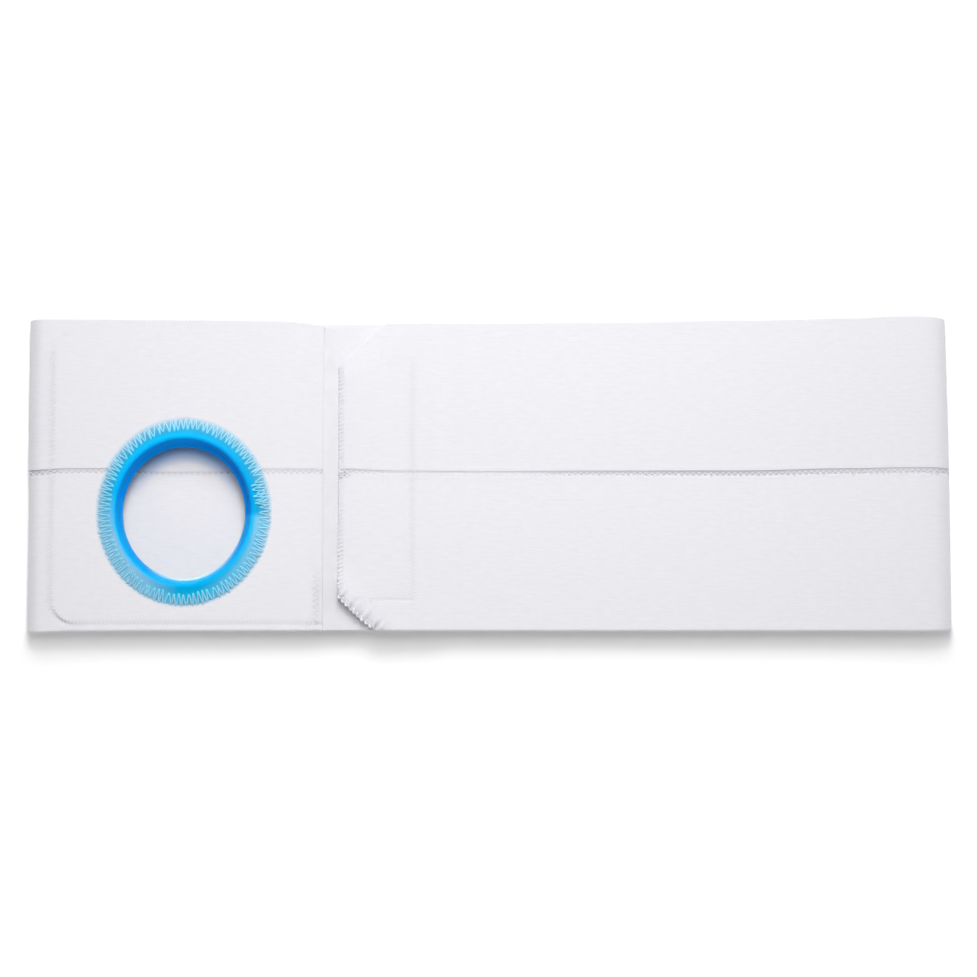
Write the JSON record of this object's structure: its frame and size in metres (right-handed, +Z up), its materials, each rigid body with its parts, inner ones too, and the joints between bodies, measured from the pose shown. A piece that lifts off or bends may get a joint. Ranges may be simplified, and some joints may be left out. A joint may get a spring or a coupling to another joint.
{
  "type": "ostomy support belt",
  "caption": "Wide white elastic belt, closed into a flat loop by a hook tab, with a blue ring that an ostomy pouch passes through on its front.",
  "frame": {"origin": "on the surface that the belt lies on, under the middle of the belt", "axes": "+X along the belt, away from the ring; +Y across it, towards its upper edge; +Z up from the surface"},
  "size_m": [0.451, 0.154, 0.014],
  "materials": {
    "elastic_upper": "matt white woven elastic",
    "elastic_lower": "matt white woven elastic",
    "loop_panel": "matt white brushed loop cloth",
    "hook_tape": "matt white hook tape",
    "ring_plastic": "smooth translucent blue"
  },
  "bodies": {
    "root": {"upper_band": "elastic_upper", "lower_band": "elastic_lower", "backing_panel": "loop_panel", "hook_patch": "hook_tape", "pouch_ring": "ring_plastic"}
  },
  "joints": []
}
